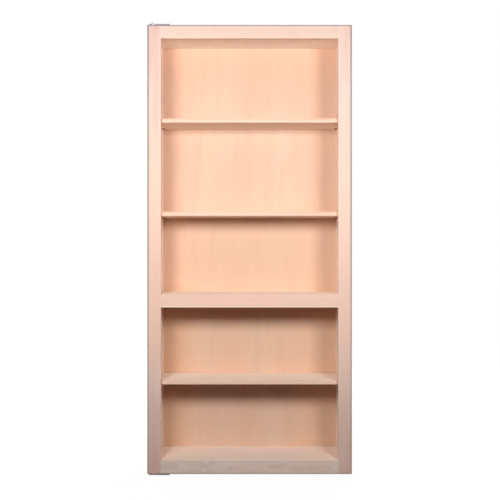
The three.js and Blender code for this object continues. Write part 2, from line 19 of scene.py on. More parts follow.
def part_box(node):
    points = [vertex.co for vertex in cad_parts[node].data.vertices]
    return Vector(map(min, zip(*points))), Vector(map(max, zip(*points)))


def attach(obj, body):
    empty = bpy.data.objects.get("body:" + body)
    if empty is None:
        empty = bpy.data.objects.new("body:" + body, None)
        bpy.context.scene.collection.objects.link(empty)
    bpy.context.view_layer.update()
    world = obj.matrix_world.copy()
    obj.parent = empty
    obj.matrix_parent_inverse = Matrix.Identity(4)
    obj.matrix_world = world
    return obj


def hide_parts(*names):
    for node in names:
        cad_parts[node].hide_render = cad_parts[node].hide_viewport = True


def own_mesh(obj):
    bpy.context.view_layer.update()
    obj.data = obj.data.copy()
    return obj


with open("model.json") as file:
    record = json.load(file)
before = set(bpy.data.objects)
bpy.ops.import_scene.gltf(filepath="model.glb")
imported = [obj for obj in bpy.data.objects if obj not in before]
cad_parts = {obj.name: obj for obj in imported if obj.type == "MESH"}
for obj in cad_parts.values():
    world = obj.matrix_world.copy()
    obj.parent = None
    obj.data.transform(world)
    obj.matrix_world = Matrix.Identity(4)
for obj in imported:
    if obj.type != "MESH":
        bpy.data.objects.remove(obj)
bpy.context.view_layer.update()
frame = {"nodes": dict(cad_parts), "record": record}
mm = 0.001
body_of = {node: body for body, nodes in frame["record"]["behaviour"]["bodies"].items() for node in nodes}
slot_of = {part["node"]: part["material_slot"] for part in frame["record"]["subparts"]}

# %% [markdown]
# ## The camera
#
# The photograph was taken square to the bookcase, at half its height, and from near enough that the
# shelves above the lens show their undersides and those below it their tops. The frame's width in
# pixels and the way in which the back panel shrinks behind it give the distance. The lens follows
# from the distance and from the real width that the picture takes in.

# %% Camera
picture_px = 500
frame_px = 204.8
sensor_mm = 36
camera_distance = 2850 * mm
camera_right = 1.8 * mm
camera_rise = 1001 * mm

frame_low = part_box("left_stile")[0]
frame_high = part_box("right_stile")[1]
picture_width = picture_px * (frame_high.x - frame_low.x) / frame_px

camera = bpy.data.objects.new("camera", bpy.data.cameras.new("camera"))
camera.data.sensor_width = sensor_mm
camera.data.lens = sensor_mm * camera_distance / picture_width
camera.location = (camera_right, frame_low.y - camera_distance, frame_low.z + camera_rise)
camera.rotation_euler = (math.pi / 2, 0, 0)
bpy.context.scene.collection.objects.link(camera)
bpy.context.scene.camera = camera
bpy.context.scene.view_settings.view_transform = "Standard"
print("lens", round(camera.data.lens, 1), "mm")

# %% [markdown]
# ## Building a finish
#
# A procedural finish is a sum of many small effects, and in the node editor their maths would hide
# them. So two small classes write it as Python. The first adds nodes by their type.

# %% A finish adds nodes
class Finish:
    """A material, lamp or world under construction; its nodes are added by their type."""

    def __init__(self, name, tree=None):
        if tree is None:
            self.material = bpy.data.materials.new(name)
            self.material.use_nodes = True
            tree = self.material.node_tree
        tree.nodes.clear()
        self.tree = tree

    def node(self, kind, settings=None, sockets=None, out=0):
        """Adds a node, sets it up, fills its sockets with numbers or links, and returns one output."""
        made = self.tree.nodes.new(kind)
        for key, setting in (settings or {}).items():
            setattr(made, key, setting)
        for key, value in (sockets or {}).items():
            if isinstance(value, Value):
                self.tree.links.new(value.socket, made.inputs[key])
            else:
                made.inputs[key].default_value = value
        return Value(self, made.outputs[out] if made.outputs else None, made)


print("ready:", Finish.__doc__)

# %% [markdown]
# ## Maths on outputs
#
# The second class is one output of a node. Python lets a class say what its plus and times mean, so
# here they add a Math node and link it, and 1 - mask reads as it would on paper.

# %% A value does maths
class Value:
    """One output of a node. An expression on such outputs adds its Math nodes."""

    def __init__(self, finish, socket, node):
        self.finish, self.socket, self.made = finish, socket, node

    def output(self, name):
        return Value(self.finish, self.made.outputs[name], self.made)

    def math(self, operation, *values):
        return self.finish.node("ShaderNodeMath", {"operation": operation}, dict(enumerate(values)))

    def __add__(self, other):
        return self.math("ADD", self, other)

    def __radd__(self, other):
        return self.math("ADD", other, self)

    def __sub__(self, other):
        return self.math("SUBTRACT", self, other)

    def __rsub__(self, other):
        return self.math("SUBTRACT", other, self)

    def __mul__(self, other):
        return self.math("MULTIPLY", self, other)

    def __rmul__(self, other):
        return self.math("MULTIPLY", other, self)

    def __truediv__(self, other):
        return self.math("DIVIDE", self, other)

    def absolute(self):
        return self.math("ABSOLUTE", self)

    def smallest(self, other):
        return self.math("MINIMUM", self, other)

    def power(self, exponent):
        return self.math("POWER", self, exponent)

    def fraction(self):
        return self.math("FRACT", self)

    def between(self, low, high):
        """0 below low, 1 above high, and a soft rise between; low may be the larger of the two."""
        flipped = low > high
        low, high = min(low, high), max(low, high)
        sockets = {"Value": self, "From Min": low, "From Max": high}
        rise = self.finish.node("ShaderNodeMapRange", {"interpolation_type": "SMOOTHSTEP"}, sockets)
        return 1 - rise if flipped else rise


def least(values):
    """The smallest of several values."""
    found = values[0]
    for value in values[1:]:
        found = found.smallest(value)
    return found


print("ready:", Value.__doc__)

# %% [markdown]
# ## The studio
#
# Three soft lamps stand before the bookcase, above its middle: a strong one to each side and a weak
# one near the camera. The side lamps leave a half-shadow in each side of a bay, which the middle one
# fills, and all their light fades towards the floor. Two more stand behind and one hangs above, so
# that the back, the sides and the top can be looked at too.
#
# The open bookcase swings to less than a metre from a side lamp. In a real studio that lamp would be
# moved. Here its light stops growing where a surface is nearer than the closed bookcase: the lamp's
# nodes read how long the ray is, and take away what nearness would add.

# %% Lamps
lamps = {  # place, width, height, power and the height that it aims at
    "left_lamp": ((-0.75, -1.7, 1.58), 0.55, 0.54, 22.3, 1.33),
    "middle_lamp": ((0.1, -2.0, 1.6), 0.4, 0.7, 4.4, 1.5),
    "right_lamp": ((1.0, -1.7, 1.58), 0.58, 0.54, 20.2, 1.33),
    "back_left_lamp": ((-2.1, 2.3, 1.9), 1.2, 1.2, 48, 1.0),
    "back_right_lamp": ((2.1, 2.3, 1.9), 1.2, 1.2, 40, 1.0),
    "top_lamp": ((0.3, 0.7, 3.6), 1.0, 1.0, 32, 2.0),
}
lamp_tone = (1.0, 0.985, 0.96)
near_reach = 1.6
for name, (place, width, tall, power, aim) in lamps.items():
    light = bpy.data.lights.new(name, "AREA")
    light.shape = "RECTANGLE"
    light.size, light.size_y = width, tall
    light.energy = power
    light.color = lamp_tone
    light.use_nodes = True
    beam = Finish(name, light.node_tree)
    near = (beam.node("ShaderNodeLightPath").output("Ray Length") / near_reach).smallest(1)
    glow = beam.node("ShaderNodeEmission", {}, {"Color": near * near, "Strength": 1.0})
    beam.node("ShaderNodeOutputLight", {}, {"Surface": glow})
    stand = bpy.data.objects.new(name, light)
    stand.location = place
    towards = Vector((0, 0, aim)) - stand.location
    stand.rotation_euler = towards.to_track_quat("-Z", "Y").to_euler()
    stand.visible_camera = False
    bpy.context.scene.collection.objects.link(stand)
print(len(lamps), "lamps")

# %% [markdown]
# ## The world
#
# The white round the object isn't made with more light on it. The world is white only to the camera,
# to gloss and to glass. The light that it sheds is weak and warm, as from a room with wooden things
# in it, and keeps the deepest shadows under the shelves brown.

# %% World
white = (1, 1, 1, 1)
room_tone = (1.0, 0.6, 0.35, 1)
room_strength = 0.008


def seen(finish):
    """1 for a ray from the camera, from gloss or through glass, and 0 for one that carries light."""
    path = finish.node("ShaderNodeLightPath")
    rays = path.output("Is Camera Ray") + path.output("Is Glossy Ray") + path.output("Is Transmission Ray")
    return rays.smallest(1)


world = bpy.data.worlds.new("world")
world.use_nodes = True
bpy.context.scene.world = world
sky = Finish("world", world.node_tree)
room = sky.node("ShaderNodeBackground", {}, {"Color": room_tone, "Strength": room_strength})
backdrop = sky.node("ShaderNodeBackground", {}, {"Color": white, "Strength": 1.0})
both = sky.node("ShaderNodeMixShader", {}, {0: seen(sky), 1: room, 2: backdrop})
sky.node("ShaderNodeOutputWorld", {}, {"Surface": both})
print("a world that is white to look at, with a room light of", room_strength)

# %% [markdown]
# ## The floor
#
# A plain sheet, white to look at in the same way. Near the object it is a shade under white, so that
# the shadow on its dark matt paint can still be made out, and further off it melts into the world.

# %% Floor
floor_reach = 3.2
floor_glow = 0.955
floor_paint = (0.06, 0.06, 0.06, 1)
near_floor, far_floor = 0.6, 1.1
bm = bmesh.new()
bmesh.ops.create_grid(bm, x_segments=8, y_segments=8, size=floor_reach)
floor_mesh = bpy.data.meshes.new("studio_floor")
bm.to_mesh(floor_mesh)
bm.free()
floor = bpy.data.objects.new("studio_floor", floor_mesh)
bpy.context.scene.collection.objects.link(floor)
paint = Finish("studio_floor")
where = paint.node("ShaderNodeTexCoord", out="Object")
away = paint.node("ShaderNodeVectorMath", {"operation": "LENGTH"}, {0: where}, "Value")
paper = away.between(near_floor, far_floor) * (1 - floor_glow) + floor_glow
matt = paint.node("ShaderNodeBsdfDiffuse", {}, {"Color": floor_paint})
lift = paint.node("ShaderNodeEmission", {}, {"Color": seen(paint) * paper, "Strength": 1.0})
both = paint.node("ShaderNodeAddShader", {}, {0: matt, 1: lift})
paint.node("ShaderNodeOutputMaterial", {}, {"Surface": both})
floor_mesh.materials.append(paint.material)
print("a floor of", 2 * floor_reach, "metres")

# %% [markdown]
# ## Wood
#
# Maple is pale and fine: broad, soft bands where the board cuts through the year's growth, long thin
# fibres, and short dark flecks. A picture of wood would repeat and would stretch round the edges, so
# the wood is solid here: every point of a board knows how far it lies along, across and through the
# log, and the pattern is worked out there. End grain and eased edges then come right by themselves.

# %% Where a board lies in its log
AXES = {"x": 0, "y": 1, "z": 2}
along_log = (0, 60)
across_log = (-30 * mm, 30 * mm)
off_middle = (45 * mm, 100 * mm)
cut_near_middle = {"bottom_rail": (4 * mm, 30 * mm)}


def lay_grain(mesh, name, along, through):
    """Writes each point's place along, across and through the board, with a start of its own.

    The last part of the start is how far the board was cut from the middle of the log."""
    chance = random.Random(name)
    u, w = AXES[along], AXES[through]
    v = 3 - u - w
    points = [vertex.co for vertex in mesh.vertices]
    middle = [(min(p[i] for p in points) + max(p[i] for p in points)) / 2 for i in range(3)]
    start = [chance.uniform(*reach) for reach in (along_log, across_log, off_middle)]
    start[1:] = cut_near_middle.get(name, start[1:])
    grain = mesh.attributes.new("grain", "FLOAT_VECTOR", "POINT")
    for i, p in enumerate(points):
        grain.data[i].vector = (p[u] + start[0], p[v] - middle[v] + start[1], p[w] - middle[w] + start[2])
    layer = mesh.attributes.new("layer", "FLOAT_VECTOR", "CORNER")
    for face in mesh.polygons:
        edge_on = 1 - abs(face.normal[w])
        for corner in face.loop_indices:
            p = points[mesh.loops[corner].vertex_index]
            layer.data[corner].vector = (p[w] - middle[w], edge_on, 0)


print("boards cut near the middle of the log:", ", ".join(cut_near_middle))

# %% [markdown]
# ## Colour, noise and the shader
#
# Every finish needs the same few things: a colour as a screen shows it, turned into light, noise that
# is drawn out along the board, what the board's mesh carries, colours mixed and laid over each other,
# and the shader at the end. Raw sanded wood has hardly any gloss, and a shader's usual share of it
# would lay a grey veil over the shadows, so wood is given far less.

# %% Colour, noise and the shader
raw_shine = 0.05


def srgb(red, green, blue):
    """A colour as a screen shows it, as the linear values that the shader mixes."""
    def linear(level):
        level /= 255
        return level / 12.92 if level <= 0.04045 else ((level + 0.055) / 1.055) ** 2.4
    return (linear(red), linear(green), linear(blue), 1)


def stretched(finish, place, scale, detail=3.0, roughness=0.5):
    """Noise that is drawn out by a scale of its own along each direction of the board."""
    spread = finish.node("ShaderNodeVectorMath", {"operation": "MULTIPLY"}, {0: place, 1: scale})
    sockets = {"Vector": spread, "Scale": 1.0, "Detail": detail, "Roughness": roughness}
    return finish.node("ShaderNodeTexNoise", {}, sockets)


def attribute(finish, name, out="Vector"):
    """What a board's mesh carries under a name."""
    return finish.node("ShaderNodeAttribute", {"attribute_name": name}, out=out)


def mixed(finish, share, first, second):
    """Two colours mixed by a share of the second."""
    return finish.node("ShaderNodeMix", {"data_type": "RGBA"}, {0: share, 6: first, 7: second}, out=2)


def layered(finish, tone, layers):
    """A tone under layers of marks: each is a noise, where it starts and is full, a share and a colour."""
    for noise, start, full, share, colour in layers:
        tone = mixed(finish, noise.between(start, full) * share, tone, colour)
    return tone


def surface(finish, colour, roughness, height, bump=0.2, reach=0.4 * mm, metallic=0.0, specular=0.5):
    """Joins a colour, a roughness and a height to the shader and the output."""
    normal = finish.node("ShaderNodeBump", {}, {"Strength": bump, "Distance": reach, "Height": height})
    sockets = {
        "Base Color": colour,
        "Roughness": roughness,
        "Metallic": metallic,
        "Specular IOR Level": specular,
        "Normal": normal,
    }
    shader = finish.node("ShaderNodeBsdfPrincipled", {}, sockets)
    finish.node("ShaderNodeOutputMaterial", {}, {"Surface": shader})
    return finish.material


print("a screen's middle grey is", round(srgb(128, 128, 128)[0], 3), "in light")

# %% [markdown]
# ## The rings of a log
#
# The stiles, the rails and the shelf edgings are sawn from boards. Their bands follow rings round the
# middle of the log, which wander along the board, so that a rail that is cut near the middle shows
# the swirls of the bottom rail. Noise that reads nothing but the distance from the middle gives bands
# of uneven width, as good and bad years do.

# %% Rings
plain_rings = {"spacing": 9 * mm, "wander": 5.0, "drift": (1.6, 9, 9), "strength": 0.35}
swirled_rings = {"spacing": 13 * mm, "wander": 7.0, "drift": (7, 13, 13), "strength": 0.8}


def log_rings(finish, grain, rings):
    """The distance from the middle of the log, wandering, read as broad and narrow bands."""
    place = finish.node("ShaderNodeSeparateXYZ", {}, {"Vector": grain})
    across, through = place.output("Y"), place.output("Z")
    radius = (across * across + through * through).power(0.5)
    wander = stretched(finish, grain, rings["drift"], detail=2.0) * rings["wander"]
    reading = radius / rings["spacing"] + wander
    sockets = {"W": reading, "Scale": 1.0, "Detail": 4.0, "Roughness": 0.62}
    return finish.node("ShaderNodeTexNoise", {"noise_dimensions": "1D"}, sockets)


for rings in (plain_rings, swirled_rings):
    print("rings every", round(rings["spacing"] / mm), "mm")

# %% [markdown]
# ## Warm places, painted highlights and painted shade
#
# The frame isn't one shade all over. Warm heartwood shows at about half its height, a painted
# highlight, a little lighter, lies along the arrises round the openings, and painted shade, a little
# darker, lies along the outer edge. Each is a mask, a share between 0 and 1 that follows from a point's
# place on the bookcase, so they run on from board to board.

# %% Masks of the face frame
heart_foot, heart_top = (300 * mm, 620 * mm), (1800 * mm, 1350 * mm)
# The painted shade along the outer edge:
rim_width, rim_full = 10.5 * mm, 5 * mm
rim_depth, rim_depth_full = 7 * mm, 2 * mm
rim_spared = 2 * mm
rim_least = 0.5
rim_heights = (250 * mm, 1300 * mm)
# The painted highlight along the arrises round the openings:
highlight_width, highlight_full = 6 * mm, 3.5 * mm


def place_of(finish):
    """Where a point lies on the bookcase, a node with the outputs X, Y and Z."""
    where = finish.node("ShaderNodeTexCoord", out="Object")
    return finish.node("ShaderNodeSeparateXYZ", {}, {"Vector": where})


def heartwood(finish):
    """How much warm heartwood shows: most around the middle of the frame's height."""
    height = place_of(finish).output("Z")
    return height.between(*heart_foot) * height.between(*heart_top)


def inside_distance(place, low, high):
    """How far a point of the frame's face lies inside a rectangle, less than zero outside it."""
    sides = (("X", low.x, high.x), ("Z", low.z, high.z))
    return least([(b - a) / 2 - (place.output(axis) - (a + b) / 2).absolute() for axis, a, b in sides])


def painted_rim_shade(finish):
    """How much painted shade lies along the outer edge of the face frame: full above 1.3 m, half below 0.25
    m, and less along the top and bottom ends.
    """
    place = place_of(finish)
    spared = Vector((0, 0, rim_spared))
    edge = inside_distance(place, frame_low - spared, frame_high + spared).between(rim_width, rim_full)
    front = place.output("Y").between(frame_low.y + rim_depth, frame_low.y + rim_depth_full)
    return edge * front * (place.output("Z").between(*rim_heights) * (1 - rim_least) + rim_least)


def painted_arris_highlight(finish, axis, levels):
    """1 along the arrises with a painted highlight, which lie at some levels of one axis, and 0 a few
    millimetres away.
    """
    place = place_of(finish).output(axis)
    return least([(place - level).absolute() for level in levels]).between(highlight_width, highlight_full)


stile_arrises = ("X", [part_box("left_stile")[1].x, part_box("right_stile")[0].x])
rail_arrises = ("Z", [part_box("top_rail")[0].z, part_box("middle_rail")[0].z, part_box("bottom_rail")[1].z])
print("sanded arrises:", len(stile_arrises[1]), "on the stiles and", len(rail_arrises[1]), "on the rails")

# %% [markdown]
# ## Solid maple
#
# Over the bands lie streaks, fibres and soft blotches, the curl that crosses the grain, short dark
# flecks and a few mineral lines. Each is noise, drawn out along the board by its own amount, and each
# moves the tone only a little. The frame's boards and the edgings are different boards of the same
# wood, so one function makes them all from tones of their own.

# %% Kinds of maple
# The palest tone is also painted light: the highlight along the stiles' and the bottom rail's arrises, and
# the paler faces of plywood.
palest = srgb(255, 237, 225)
edging_palest = srgb(255, 227, 207)
maple_fleck = srgb(182, 136, 108)
# The colour of the painted shade along the frame's outer edge.
rim_shade_tone = srgb(168, 153, 152)
maple_heart = srgb(252, 210, 188)
# A pale tone for the top and middle rails, which is also their painted highlight along the arrises.
pale_and_highlight_tone = srgb(255, 234, 213)
frame_tones = (srgb(244, 215, 205), srgb(241, 203, 192), srgb(225, 185, 168))
swirled_tones = (srgb(254, 226, 215), srgb(250, 213, 202), srgb(217, 177, 160))
edging_tones = (srgb(253, 211, 189), srgb(250, 199, 174), srgb(233, 178, 149))
heart_share = 0.6
rim_shade_share = 0.95


def maple(name, tones, lightest, highlit=None, share=0.0, rings=plain_rings):
    """Solid maple of three tones; on the frame it is also warm in places, with a painted highlight along its
    inner arrises and painted shade along its outer edge.
    """
    pale, rose, band = tones
    finish = Finish(name)
    grain = attribute(finish, "grain")
    paler = attribute(finish, "paler", out="Fac")
    bands = log_rings(finish, grain, rings)
    fibres = stretched(finish, grain, (14, 900, 900))
    streaks = stretched(finish, grain, (1.1, 90, 90))
    blotch = stretched(finish, grain, (2.4, 11, 11), detail=2.0)
    curl = stretched(finish, grain, (46, 7, 7), detail=2.0)
    flecks = stretched(finish, grain, (110, 1500, 1500), detail=1.0)
    mineral = stretched(finish, grain, (7, 210, 210), detail=1.0)
    tone = mixed(finish, blotch.between(0.35, 0.68), pale, rose)
    tone = layered(finish, tone, [
        (bands, 0.42, 0.62, rings["strength"], band),
        (streaks, 0.4, 0.66, 0.2, band),
        (curl, 0.45, 0.7, 0.3, rose),
        (fibres, 0.55, 0.85, 0.16, band),
        (flecks, 0.7, 0.78, 0.35, maple_fleck),
        (mineral, 0.71, 0.8, 0.4, maple_fleck),
    ])
    if highlit:
        tone = mixed(finish, heartwood(finish) * heart_share, tone, maple_heart)
    tone = mixed(finish, paler, tone, lightest)
    if highlit:
        # A painted highlight along the arrises round the openings.
        tone = mixed(finish, painted_arris_highlight(finish, *highlit) * share, tone, lightest)
        # Painted shade along the outer edge of the frame.
        tone = mixed(finish, painted_rim_shade(finish) * rim_shade_share, tone, rim_shade_tone)
    roughness = 0.5 + fibres * 0.16 + blotch * 0.06
    height = fibres + bands * 0.4 - flecks.between(0.7, 0.78) * 0.6
    return surface(finish, tone, roughness, height, specular=raw_shine)


maple_stile = maple("maple_stile", frame_tones, palest, stile_arrises, share=0.3)
maple_top_rail = maple("maple_top_rail", frame_tones, pale_and_highlight_tone, rail_arrises, share=0.3)
maple_middle_rail = maple("maple_middle_rail", frame_tones, pale_and_highlight_tone, rail_arrises, share=1.0)
maple_bottom_rail = maple("maple_bottom_rail", swirled_tones, palest, rail_arrises, 1.0, swirled_rings)
maple_plain = maple("maple_plain", edging_tones, edging_palest)
print("made", maple_stile.name, "and four more kinds of solid maple")

# %% [markdown]
# ## Marks of the back
#
# The back is a thin sheet, nailed on from behind. Its veneer is warmer at its top and in its lower
# half, less so at its foot, and at its left and right below the fixed shelf it carries painted shade
# that deepens the stiles' half-shadows there. These are masks too. The nails stand in rows over the
# sides and the panels, so how far a point is from the nearest one follows from how far along its row
# it lies.

# %% Masks of the back
nail_pitch = 120 * mm
many_steps = 50
# Where the back's veneer is warmer:
top_warm, lower_warm, foot_warm = (1650 * mm, 1900 * mm), (1300 * mm, 1100 * mm), (450 * mm, 150 * mm)
top_share, lower_share, foot_share = 0.35, 0.4, 0.25
# Where the painted shade lies on the back:
shade_left, shade_right, shade_below = (-240 * mm, -330 * mm), (230 * mm, 330 * mm), (860 * mm, 800 * mm)
left_share, right_share = 0.5, 0.3
face_depth = 1 * mm


def middle_of(node):
    low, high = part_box(node)
    return (low + high) / 2


def nail_distance(finish):
    """How far a point of the back lies from the nearest nail, in rows along the sides and the shelves.

    A row's steps are counted from well below zero, so that their fractions rise all the way."""
    place = place_of(finish)
    across, upright = place.output("X"), place.output("Z")
    side_row = (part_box("right_side")[0].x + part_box("back_panel")[1].x) / 2
    rows = [(across.absolute() - side_row, upright)]
    for node in ("bottom_panel", "fixed_shelf", "top_panel"):
        rows.append((upright - middle_of(node).z, across))
    reaches = []
    for off, along in rows:
        step = ((along / nail_pitch + many_steps).fraction() - 0.5) * nail_pitch
        reaches.append((off * off + step * step).power(0.5))
    return least(reaches)


def back_warmth(finish):
    """How much warmer the veneer of the back is: at its top and in its lower half, but less at its foot."""
    height = place_of(finish).output("Z")
    upper = height.between(*top_warm) * top_share
    return upper + height.between(*lower_warm) * lower_share - height.between(*foot_warm) * foot_share


def painted_bay_shade(finish):
    """How much painted shade lies on the back's front face at its left and right, below the fixed shelf."""
    place = place_of(finish)
    across = place.output("X")
    ends = across.between(*shade_left) * left_share + across.between(*shade_right) * right_share
    low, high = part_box("back_panel")
    front = place.output("Y").between(high.y - face_depth, low.y + face_depth)
    return ends * front * place.output("Z").between(*shade_below)


print("nails every", round(nail_pitch / mm), "mm")

# %% [markdown]
# ## Maple plywood
#
# The case and the shelves are plywood. A log is peeled for its veneer, so the faces show wide, faint
# figure instead of bands. Edge-on, the layers run crossways by turns, and the eye sees light and dark
# stripes. The layer attribute says how deep in the sheet a point lies and whether its face is an edge.
# A board that gives less than nothing as its paleness, on the undersides of two shelves, is browner:
# painted shade, so that less light bounces into the shadows below them.

# %% Plywood
ply_light, ply_dark = srgb(226, 190, 150), srgb(176, 130, 92)
# A brown that paints shade on the undersides of two shelves.
painted_underside_shade = srgb(202, 152, 110)
# A warmer tone of the back's veneer.
warm_veneer = srgb(235, 190, 160)
# The colour of the painted shade at the back's lower left and right.
bay_shade_tone = srgb(222, 176, 142)
nail_grey = srgb(150, 149, 146)
nail_radius, nail_edge = 1.3 * mm, 0.15 * mm


def plywood(name, ply, pale, warm, shade, nailed=False):
    """Plywood with plies of a thickness: three tones on its faces, stripes at its edges."""
    finish = Finish(name)
    grain = attribute(finish, "grain")
    layer = attribute(finish, "layer")
    paler = attribute(finish, "paler", out="Fac")
    depth = finish.node("ShaderNodeSeparateXYZ", {}, {"Vector": layer})
    wide = stretched(finish, grain, (1.1, 5.5, 3), roughness=0.55)
    figure = stretched(finish, grain, (3.2, 26, 8), detail=4.0, roughness=0.6)
    fibres = stretched(finish, grain, (16, 700, 200))
    streaks = stretched(finish, grain, (2.2, 120, 40))
    mottle = stretched(finish, grain, (38, 52, 20), detail=2.0)
    flecks = stretched(finish, grain, (130, 1400, 400), detail=1.0)
    tone = mixed(finish, wide.between(0.36, 0.66), pale, warm)
    if nailed:
        tone = mixed(finish, back_warmth(finish), tone, warm_veneer)
        # Painted shade at the left and right of the back, below the fixed shelf.
        tone = mixed(finish, painted_bay_shade(finish), tone, bay_shade_tone)
    tone = layered(finish, tone, [
        (figure, 0.44, 0.72, 0.3, shade),
        (streaks, 0.42, 0.7, 0.13, shade),
        (mottle, 0.5, 0.8, 0.16, warm),
        (fibres, 0.55, 0.85, 0.2, shade),
        (flecks, 0.7, 0.78, 0.4, maple_fleck),
    ])
    # Paler where the board says so, partly painted light; browner where it gives less than nothing, which is
    # painted shade.
    tone = mixed(finish, paler, tone, palest)
    tone = mixed(finish, paler * -1, tone, painted_underside_shade)
    turn = (depth.output("X") / (2 * ply) + (many_steps + 0.25)).fraction()
    cross = turn.between(0.46, 0.54)
    stripe = mixed(finish, cross * 0.75 + fibres * 0.25, ply_light, ply_dark)
    tone = mixed(finish, depth.output("Y").between(0.7, 0.95), tone, stripe)
    roughness = 0.48 + fibres * 0.16 + cross * 0.05
    height = fibres + figure * 0.3 - flecks.between(0.7, 0.78) * 0.5
    if nailed:
        behind = depth.output("X").between(0, face_depth)
        near = nail_distance(finish)
        head = near.between(nail_radius + nail_edge, nail_radius) * behind
        tone = mixed(finish, near.between(3 * nail_radius, nail_radius) * behind * 0.5, tone, maple_fleck)
        tone = mixed(finish, head, tone, nail_grey)
        height = height - near.between(2.2 * nail_radius, nail_radius) * behind * 2 + head
    return surface(finish, tone, roughness, height, specular=raw_shine)


thick_ply, thin_ply = 2.7 * mm, 2 * mm
side_tones = (srgb(241, 210, 188), srgb(239, 204, 180), srgb(228, 189, 162))
shelf_tones = (srgb(246, 220, 203), srgb(242, 209, 190), srgb(232, 196, 172))
back_tones = (srgb(236, 206, 184), srgb(236, 199, 176), srgb(224, 184, 157))
side_plywood = plywood("side_plywood", thick_ply, *side_tones)
shelf_plywood = plywood("shelf_plywood", thick_ply, *shelf_tones)
thin_plywood = plywood("thin_plywood", thin_ply, *back_tones, nailed=True)
print("made", side_plywood.name, "and its paler and thinner kinds")

# %% [markdown]
# ## Boards
#
# A board could be a box with a bevel, but the real ones have grooves, mortises and rows of holes that
# show from behind, above and below. So each board starts as a copy of its CAD solid, whose triangles
# are merged back into whole faces, and then its arrises are eased as a sanding block eases them.

# %% Merging a solid and easing its edges
merge_reach = 0.002 * mm
flat_angle = math.radians(0.5)
plane_reach = 0.02 * mm


def merged_copy(node):
    """A bmesh of a node's solid, with its loose triangles joined and its flat faces made whole."""
    bm = bmesh.new()
    bm.from_mesh(frame["nodes"][node].data)
    bmesh.ops.remove_doubles(bm, verts=bm.verts, dist=merge_reach)
    bmesh.ops.dissolve_limit(
        bm, angle_limit=flat_angle, verts=bm.verts, edges=bm.edges, use_dissolve_boundaries=False
    )
    return bm


def edges_on(bm, node, *planes):
    """The edges that lie on all the named sides of a node's box, such as -y and +z."""
    low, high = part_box(node)
    found = []
    for edge in bm.edges:
        on = True
        for plane in planes:
            axis = AXES[plane[1]]
            level = low[axis] if plane[0] == "-" else high[axis]
            on = on and all(abs(v.co[axis] - level) < plane_reach for v in edge.verts)
        if on:
            found.append(edge)
    return found


def ease(bm, edges, radius, segments=3):
    """Rounds a set of edges."""
    chosen = list(dict.fromkeys(edges))
    if chosen:
        bmesh.ops.bevel(
            bm, geom=chosen, offset=radius, offset_type="OFFSET", segments=segments,
            profile=0.5, affect="EDGES", material=-1, clamp_overlap=True,
        )


sample = merged_copy("left_side")
triangles = len(frame["nodes"]["left_side"].data.polygons)
print("left side:", triangles, "triangles,", len(sample.faces), "whole faces")
sample.free()

# %% [markdown]
# ## From a bmesh to a piece
#
# A finished piece rides on the body of its node, stands for it and takes its slot, so that it moves as
# the solid does. A board's mesh then also carries its grain, and how much paler it is than its finish:
# boards of one finish still differ, and a finish of its own for each would repeat all the others. The
# same share paints light on the inner faces of the sides, on the tops and undersides of the panels and
# shelves and on the lower half of each edging, and a share below nothing paints shade.

# %% A piece and a board
def finish_piece(bm, node, material, smooth=None):
    """Makes the piece from its bmesh, and lets it ride and stand for its node."""
    mesh = bpy.data.meshes.new(node + "_look")
    bm.to_mesh(mesh)
    bm.free()
    if smooth is not None:
        mesh.shade_smooth()
        mesh.set_sharp_from_angle(angle=math.radians(smooth))
    piece = bpy.data.objects.new(node + "_look", mesh)
    bpy.context.scene.collection.objects.link(piece)
    mesh.materials.append(material)
    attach(piece, body_of[node])
    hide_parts(node)
    return piece


def board(node, material, along, through, arrises, paler=(0, 0), paler_along="z"):
    """A board with some arrises eased, each given by a radius and the sides that meet there.

    How much paler it is than its finish is given for its low and its high side along an axis;
    on many boards a paler side is painted light, and a share below nothing is painted shade."""
    bm = merged_copy(node)
    for radius, corners in arrises:
        edges = [edge for corner in corners for edge in edges_on(bm, node, *corner.split())]
        ease(bm, edges, radius)
    piece = finish_piece(bm, node, material)
    lay_grain(piece.data, node, along, through)
    shade = piece.data.attributes.new("paler", "FLOAT", "POINT")
    axis = AXES[paler_along]
    middle = sum(corner[axis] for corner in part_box(node)) / 2
    for i, vertex in enumerate(piece.data.vertices):
        shade.data[i].value = paler[int(vertex.co[axis] > middle)]
    return piece


print(len(body_of), "nodes are waiting for their pieces")

# %% [markdown]
# ## The face frame
#
# Its outer arrises are rounded more than those round the openings, because the frame laps over the
# doorway and hands pull at it. The stiles stand with their grain upright, the rails lie. No two
# boards of a tree are quite the same shade, so each board also carries how much paler it is.

# %% Stiles and rails
outer_ease, inner_ease = 2 * mm, 0.9 * mm
frame_boards = {
    "left_stile": (maple_stile, "z", ["-x -y", "-y +z", "-y -z"], ["+x -y"], (0, 0)),
    "right_stile": (maple_stile, "z", ["+x -y", "-y +z", "-y -z"], ["-x -y"], (0, 0.2)),
    "top_rail": (maple_top_rail, "x", ["-y +z"], ["-y -z"], (0.3, 0.3)),
    "middle_rail": (maple_middle_rail, "x", [], ["-y +z", "-y -z"], (0.1, 0.1)),
    "bottom_rail": (maple_bottom_rail, "x", ["-y -z"], ["-y +z"], (0.55, 0.55)),
}
for node, (wood, along, outer, inner, paler) in frame_boards.items():
    board(node, wood, along, "y", [(outer_ease, outer), (inner_ease, inner)], paler)
print("face frame:", len(frame_boards), "boards")

# %% [markdown]
# ## The case
#
# The sides are plywood with their grain upright, grooved for the panels and drilled for the shelf
# pins. Only the edges that a hand can reach are eased, and hardly at all.

# %% Sides, panels and back
slight_ease = 0.5 * mm
# The inner faces of the sides are painted paler than their outer faces: painted light on the faces that look
# into the bays.
board("left_side", side_plywood, "z", "x", [(slight_ease, ["-x +y"])], (0, 0.9), "x")
board("right_side", side_plywood, "z", "x", [(slight_ease, ["+x +y"])], (0.9, 0), "x")
